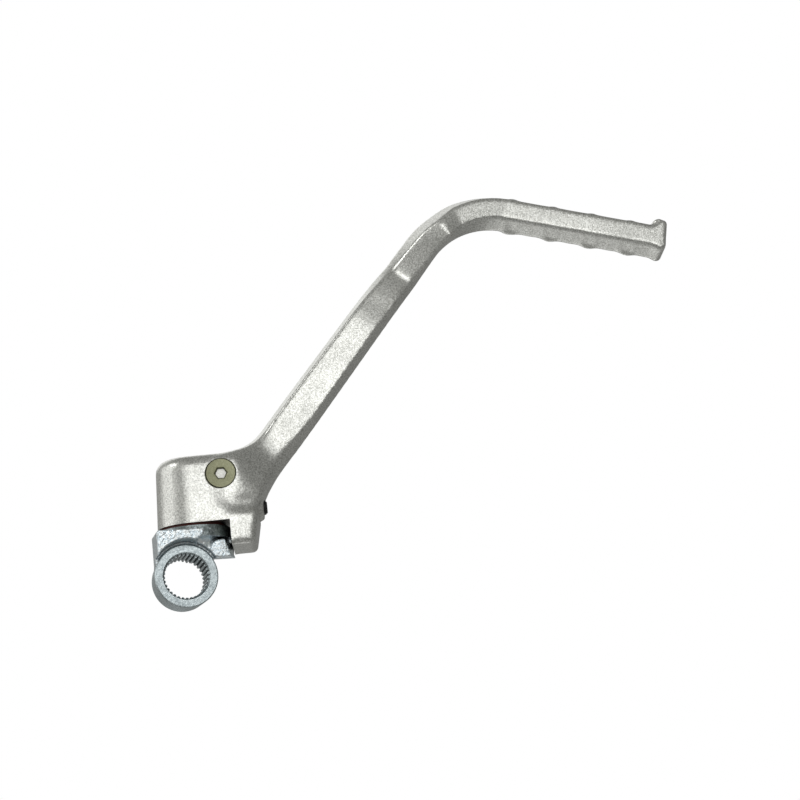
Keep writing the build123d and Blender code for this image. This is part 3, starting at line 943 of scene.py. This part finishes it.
def rough_skin_tree():
    """A geometry tree that roughens the faces that look along a given direction."""
    tree, put, sockets = new_geometry_tree("rough_skin", ROUGH_INPUTS)
    normal = add_node(tree, "GeometryNodeInputNormal")
    facing = add_node(tree, "ShaderNodeVectorMath", operation="DOT_PRODUCT")
    mask = add_node(tree, "ShaderNodeMapRange", From_Min=0.55, From_Max=0.95, To_Min=0.12, To_Max=1.0)
    noise = add_node(tree, "ShaderNodeTexNoise", Detail=3.0, Roughness=0.65)
    centred = add_node(tree, "ShaderNodeMath", operation="SUBTRACT")
    centred.inputs[1].default_value = NOISE_MEAN
    scaled = add_node(tree, "ShaderNodeMath", operation="MULTIPLY")
    masked = add_node(tree, "ShaderNodeMath", operation="MULTIPLY")
    offset = add_node(tree, "ShaderNodeVectorMath", operation="SCALE")
    moved = add_node(tree, "GeometryNodeSetPosition")
    link(normal.outputs[0], facing.inputs[0])
    link(put.outputs["Toward"], facing.inputs[1])
    link(facing.outputs["Value"], mask.inputs["Value"])
    link(put.outputs["Grain"], noise.inputs["Scale"])
    link(noise.outputs[0], centred.inputs[0])
    link(centred.outputs[0], scaled.inputs[0])
    link(put.outputs["Depth"], scaled.inputs[1])
    link(scaled.outputs[0], masked.inputs[0])
    link(mask.outputs["Result"], masked.inputs[1])
    link(normal.outputs[0], offset.inputs[0])
    link(masked.outputs[0], offset.inputs["Scale"])
    link(put.outputs["Geometry"], moved.inputs["Geometry"])
    link(offset.outputs[0], moved.inputs["Offset"])
    end_geometry_tree(tree, put, moved)
    return tree, sockets


def run_tree(piece, tree, sockets, **values):
    """Runs a geometry tree on a piece with its inputs set by name, and keeps the result as plain mesh."""
    modifier = piece.modifiers.new(tree.name, "NODES")
    modifier.node_group = tree
    for name, value in values.items():
        modifier[sockets[name].identifier] = value
    settle(piece)


rough_tree, rough_sockets = rough_skin_tree()
print("rough skin tree nodes:", len(rough_tree.nodes))

# %% [markdown]
# ## Knuckle forging
#
# The knuckle is made like the lever, with finer faces. Hub, flange and journal are turned on the real piece
# and stay crisp, so those are taken from the construction as they are and joined to the softened rest. The
# hub is plain zinc, the block and the ear have the bright forged skin, and the flange gets a darker copy of
# the zinc, as painted shade under the head.

# %% Knuckle forging
KNUCKLE_VOXEL = 0.32
KNUCKLE_ROUNDS = 4
TURNED_EDGE = 18.0
FORGED_EDGE = 55.0
OVERLAP = 0.06
ROUGH_DEPTH = 0.52
ROUGH_GRAIN = 950.0
FRONT = (0.0, -1.0, 0.0)
HUB_ZONE, SKIN_ZONE, FLANGE_ZONE = range(3)
hub_radius = 13.0
hub_half = 8.0
flange_radius = 15.2
flange_bottom = 15.0


def machined_zone(name, margin):
    """The turned parts of the knuckle: the hub, and the flange with its journal."""
    reach = hub_half + BEYOND
    zone = cylinder(name, hub_radius + margin, -reach, reach, along((0, 1, 0), (0, 0, 0)))
    bottom = flange_bottom + OVERLAP - margin
    on_journal = Matrix.Translation(journal_place)
    flange = cylinder("flange_zone", flange_radius + margin, bottom, 2 * BEYOND, on_journal)
    combine(zone, flange, "UNION")
    return zone


def zone_of(spot):
    """The zone of the knuckle that a spot lies in: the turned hub, the turned flange or the forged skin."""
    from_hub = math.hypot(spot.x, spot.z) / MM
    from_journal = math.hypot(spot.x - journal_place.x, spot.y) / MM
    if from_journal < flange_radius + OVERLAP and spot.z / MM > flange_bottom:
        return FLANGE_ZONE
    return HUB_ZONE if from_hub < hub_radius + OVERLAP else SKIN_ZONE


def finish_zones(piece):
    """Sharp edges from a small angle on in the turned zones and from a large one on the forged skin, and a
    material for each zone."""
    work = bmesh.new()
    work.from_mesh(piece.data)
    for edge in work.edges:
        zone = zone_of((edge.verts[0].co + edge.verts[1].co) / 2)
        limit = FORGED_EDGE if zone == SKIN_ZONE else TURNED_EDGE
        edge.smooth = len(edge.link_faces) == 2 and edge.calc_face_angle() < math.radians(limit)
    for face in work.faces:
        face.smooth = True
        face.material_index = zone_of(face.calc_center_median())
    work.to_mesh(piece.data)
    work.free()


def make_knuckle():
    """The knuckle: softened rough forging joined to the crisp turned parts; it stands for the knuckle."""
    turned = merged_copy("turned_parts", "knuckle")
    combine(turned, machined_zone("turned_zone", OVERLAP), "INTERSECT")
    knuckle = merged_copy("knuckle_forging", "knuckle")
    remesh(knuckle, KNUCKLE_VOXEL)
    soften(knuckle, KNUCKLE_ROUNDS)
    run_tree(
        knuckle, rough_tree, rough_sockets,
        depth=ROUGH_DEPTH * MM, grain=ROUGH_GRAIN, toward=FRONT, finish=forged_zinc,
    )
    combine(knuckle, machined_zone("forged_zone", 0.0), "DIFFERENCE")
    combine(knuckle, turned, "UNION")
    finish_zones(knuckle)
    # The flange zone gets the darker zinc, which is painted shade under the head.
    dress(knuckle, "knuckle_body", "knuckle", "knuckle_zinc", zinc_plate, forged_zinc, flange_shade_zinc)
    return knuckle


knuckle = make_knuckle()
print("knuckle faces:", len(knuckle.data.polygons))

# %% [markdown]
# ## Flagged lamps
#
# Two lamps light one forging each, as a lamp behind a flag does in a studio. The knuckle's front faces turn
# away from the key, so a fill lights the knuckle alone. A small strong lamp from the upper left draws the
# bright line along the bend of the lever.

# %% Flagged lamps
KNUCKLE_FILL = ("knuckle_fill", (0.24, -0.935, 0.25), 1.3, 1.1, 1.3)
EDGE_LIGHT = ("edge_light", (-0.77, -0.26, 0.58), 0.8, 0.8, 4.2)


def flag_light(light, piece):
    """Keeps a light to one piece, as a flag in front of a lamp does."""
    receivers = bpy.data.collections.new(light.name + "_receivers")
    receivers.objects.link(piece)
    light.light_linking.receiver_collection = receivers


for softbox, piece in ((KNUCKLE_FILL, knuckle), (EDGE_LIGHT, lever)):
    flag_light(make_softbox(*softbox), piece)
    print(softbox[0], "lights", piece.name)

# %% [markdown]
# ## Coils and threads
#
# The detent's spring and both threads are helices, so one geometry tree makes all three: a spiral swept with
# a small round or three-cornered section. On the real screw and plug the thread is rolled or cut; here it is
# wound onto a core, with its crests at the thread's outer radius.

# %% Coils and threads
COIL_INPUTS = {
    "Turns": "Float",
    "Radius": "Float",
    "Length": "Float",
    "Wire": "Float",
    "Corners": "Int",
    "Finish": "Material",
}
THREAD_PITCH = 1.0
THREAD_WIRE = 0.28
THREAD_CORNERS = 3


def coil_tree():
    """A geometry tree that sweeps a section along a helix."""
    tree, put, sockets = new_geometry_tree("coil", COIL_INPUTS)
    spiral = add_node(tree, "GeometryNodeCurveSpiral", (-500, 100), Resolution=40)
    section = add_node(tree, "GeometryNodeCurvePrimitiveCircle", (-500, -200))
    swept = add_node(tree, "GeometryNodeCurveToMesh", (-200, 0), Fill_Caps=True)
    smooth = add_node(tree, "GeometryNodeSetShadeSmooth", (0, 0))
    link(put.outputs["Turns"], spiral.inputs["Rotations"])
    link(put.outputs["Radius"], spiral.inputs["Start Radius"])
    link(put.outputs["Radius"], spiral.inputs["End Radius"])
    link(put.outputs["Length"], spiral.inputs["Height"])
    link(put.outputs["Corners"], section.inputs["Resolution"])
    link(put.outputs["Wire"], section.inputs["Radius"])
    link(spiral.outputs["Curve"], swept.inputs["Curve"])
    link(section.outputs["Curve"], swept.inputs["Profile Curve"])
    link(swept.outputs["Mesh"], smooth.inputs[0])
    end_geometry_tree(tree, put, smooth)
    return tree, sockets


spiral_tree, spiral_sockets = coil_tree()


def make_coil(name, place, start, length, radius, wire, **values):
    """A helix in millimetres along a placed axis, from a start on that axis."""
    coil = new_object(name, bpy.data.meshes.new(name))
    run_tree(
        coil, spiral_tree, spiral_sockets, length=length * MM, radius=radius * MM, wire=wire * MM, **values
    )
    coil.data.transform(place @ Matrix.Translation((0.0, 0.0, start * MM)))
    return coil


def add_thread(piece, place, start, length, radius, finish):
    """Winds a thread onto a piece, with its crests at the thread's radius."""
    thread = make_coil(
        piece.name + "_thread", place, start, length, radius - THREAD_WIRE, THREAD_WIRE,
        turns=length / THREAD_PITCH, corners=THREAD_CORNERS, finish=finish,
    )
    work = bmesh.new()
    work.from_mesh(piece.data)
    work.from_mesh(thread.data)
    work.to_mesh(piece.data)
    work.free()
    bpy.data.objects.remove(thread)


print("coil tree nodes:", len(spiral_tree.nodes))

# %% [markdown]
# ## Retaining screw
#
# A countersunk socket screw, turned and rolled. Its head sits just below the lever's face, with a fine gap
# round it. The socket has a chamfered rim, with its walls and rim painted dark as shade and its floor painted
# bright as a highlight. The thread lies in the lever and shows only when the screw is taken out.

# %% Retaining screw
screw_recess = 0.15
screw_head_radius = 6.0
screw_head_land = 0.45
screw_head_break = 0.2
screw_radius = 3.0
screw_length = screw_face + 10.0
screw_core = 2.56
screw_thread_start = 6.5
screw_thread_rest = 1.0
screw_end_chamfer = 0.6
socket_flats = 4.0
socket_depth = 1.5
socket_rim = 0.55
THREAD_RUNOUT = 0.5
DISH_RADIUS = 0.05
DISH_DEPTH = 0.2
HEXAGON = 6
FACE_MARGIN = 0.05
SCREW_EDGE = 25.0
PLATED, HIGHLIT_SOCKET_FLOOR, SHADED_SOCKET_WALL = range(3)


def hexagon(name, flats, floor, top, place):
    """A hexagonal prism with a slightly dished floor."""
    radius = flats / math.sqrt(3)
    profile = [(DISH_RADIUS, floor - DISH_DEPTH), (radius, floor), (radius, top)]
    return lathe(name, profile, place, HEXAGON)


def cut_socket(screw, floor_level, corner):
    """Cuts the socket with its chamfered rim into the screw's face."""
    outward_axis = screw_axis @ Matrix.Rotation(math.pi, 4, "X")
    combine(screw, hexagon("socket", socket_flats, -floor_level, BEYOND, outward_axis), "DIFFERENCE")
    rim = corner + socket_rim
    profile = [(corner, -screw_recess - socket_rim), (rim, -screw_recess), (rim, BEYOND)]
    combine(screw, lathe("chamfer", profile, outward_axis, HEXAGON), "DIFFERENCE")


def mark_socket(screw, floor_level, corner):
    """Gives the socket's floor a painted highlight, and its walls with the rim painted shade, as materials of
    their own.
    """
    to_axis = screw_axis.inverted()
    for face in screw.data.polygons:
        spot = to_axis @ face.center / MM
        in_socket = math.hypot(spot.x, spot.y) < corner and spot.z < screw_radius
        on_floor = in_socket and spot.z > floor_level - FACE_MARGIN
        on_wall = in_socket and screw_recess + FACE_MARGIN < spot.z < floor_level
        # The socket's floor takes the painted highlight, its walls and rim the painted shade.
        face.material_index = HIGHLIT_SOCKET_FLOOR if on_floor else SHADED_SOCKET_WALL if on_wall else PLATED


def make_screw():
    """The countersunk screw along its axis, from its face inwards."""
    shoulder = screw_recess + screw_head_land
    neck = shoulder + screw_head_radius - screw_radius
    screw = lathe(
        "screw",
        [
            (screw_head_radius - screw_head_break, screw_recess),
            (screw_head_radius, screw_recess + screw_head_break),
            (screw_head_radius, shoulder),
            (screw_radius, neck),
            (screw_radius, screw_thread_start - THREAD_RUNOUT),
            (screw_core, screw_thread_start),
            (screw_core, screw_length - screw_end_chamfer),
            (screw_core - screw_end_chamfer, screw_length),
        ],
        screw_axis,
    )
    floor_level = screw_recess + socket_depth
    corner = socket_flats / math.sqrt(3)
    cut_socket(screw, floor_level, corner)
    mark_socket(screw, floor_level, corner)
    shade(screw, SCREW_EDGE)
    thread_length = screw_length - screw_thread_start - screw_thread_rest
    add_thread(screw, screw_axis, screw_thread_start, thread_length, screw_radius, olive_plate)
    # On the screw the second finish is a painted highlight on the socket floor, the third painted shade on
    # its walls.
    dress(screw, "lever_body", "retaining_screw", "screw_olive", olive_plate, socket_highlight_steel, black_oxide_and_socket_shade)
    return screw


screw = make_screw()
print("screw faces:", len(screw.data.polygons))

# %% [markdown]
# ## Detent plug and spring
#
# The plug is a black grub screw that closes the detent's bore. Only its chamfered end stands out of the boss.
# Behind it the spring presses the ball onto the journal.

# %% Detent plug and spring
plug_start = 24.2
plug_end = 31.0
plug_radius = 3.0
plug_core = 2.56
plug_chamfer = 0.8
plug_lead = 0.4
plug_collar = 2.0
plug_thread_rest = 0.6
plug_flats = 3.0
plug_socket_depth = 2.6
SOCKET_OVERRUN = 1.0
spring_start = 16.88
spring_end = 23.8
spring_radius = 2.25
spring_wire = 0.35
spring_turns = 5.0
WIRE_CORNERS = 12


def make_plug():
    """The grub screw: a threaded core with a plain chamfered end and a hexagonal socket."""
    collar = plug_end - plug_collar
    plug = lathe(
        "plug",
        [
            (plug_radius - plug_chamfer, plug_start),
            (plug_core, plug_start + plug_lead),
            (plug_core, collar - THREAD_RUNOUT),
            (plug_radius, collar),
            (plug_radius, plug_end - plug_chamfer),
            (plug_radius - plug_chamfer, plug_end),
        ],
        detent_axis,
    )
    floor = plug_end - plug_socket_depth
    socket = hexagon("plug_socket", plug_flats, floor, plug_end + SOCKET_OVERRUN, detent_axis)
    combine(plug, socket, "DIFFERENCE")
    shade(plug, SCREW_EDGE)
    thread_length = collar - plug_start - 2 * plug_thread_rest
    add_thread(plug, detent_axis, plug_start + plug_thread_rest, thread_length, plug_radius, black_oxide_and_socket_shade)
    dress(plug, "lever_body", "detent_plug", "plug_black", black_oxide_and_socket_shade)
    return plug


def make_spring():
    """The detent's spring, of round wire."""
    spring = make_coil(
        "spring", detent_axis, spring_start, spring_end - spring_start, spring_radius, spring_wire,
        turns=spring_turns, corners=WIRE_CORNERS, finish=bright_wire,
    )
    dress(spring, "lever_body", "detent_spring", "spring_steel", bright_wire)
    return spring


plug = make_plug()
spring = make_spring()
print("plug and spring faces:", len(plug.data.polygons), len(spring.data.polygons))

# %% [markdown]
# ## Ball and seal
#
# A ball and a ring are exact as they come from the construction, so they only get their finishes.

# %% Ball and seal
for node, material in (("detent_ball", polished_steel), ("seal_ring", red_rubber)):
    mesh = frame["nodes"][node].data
    mesh.materials.clear()
    mesh.materials.append(material)
    print(node, "gets", material.name)
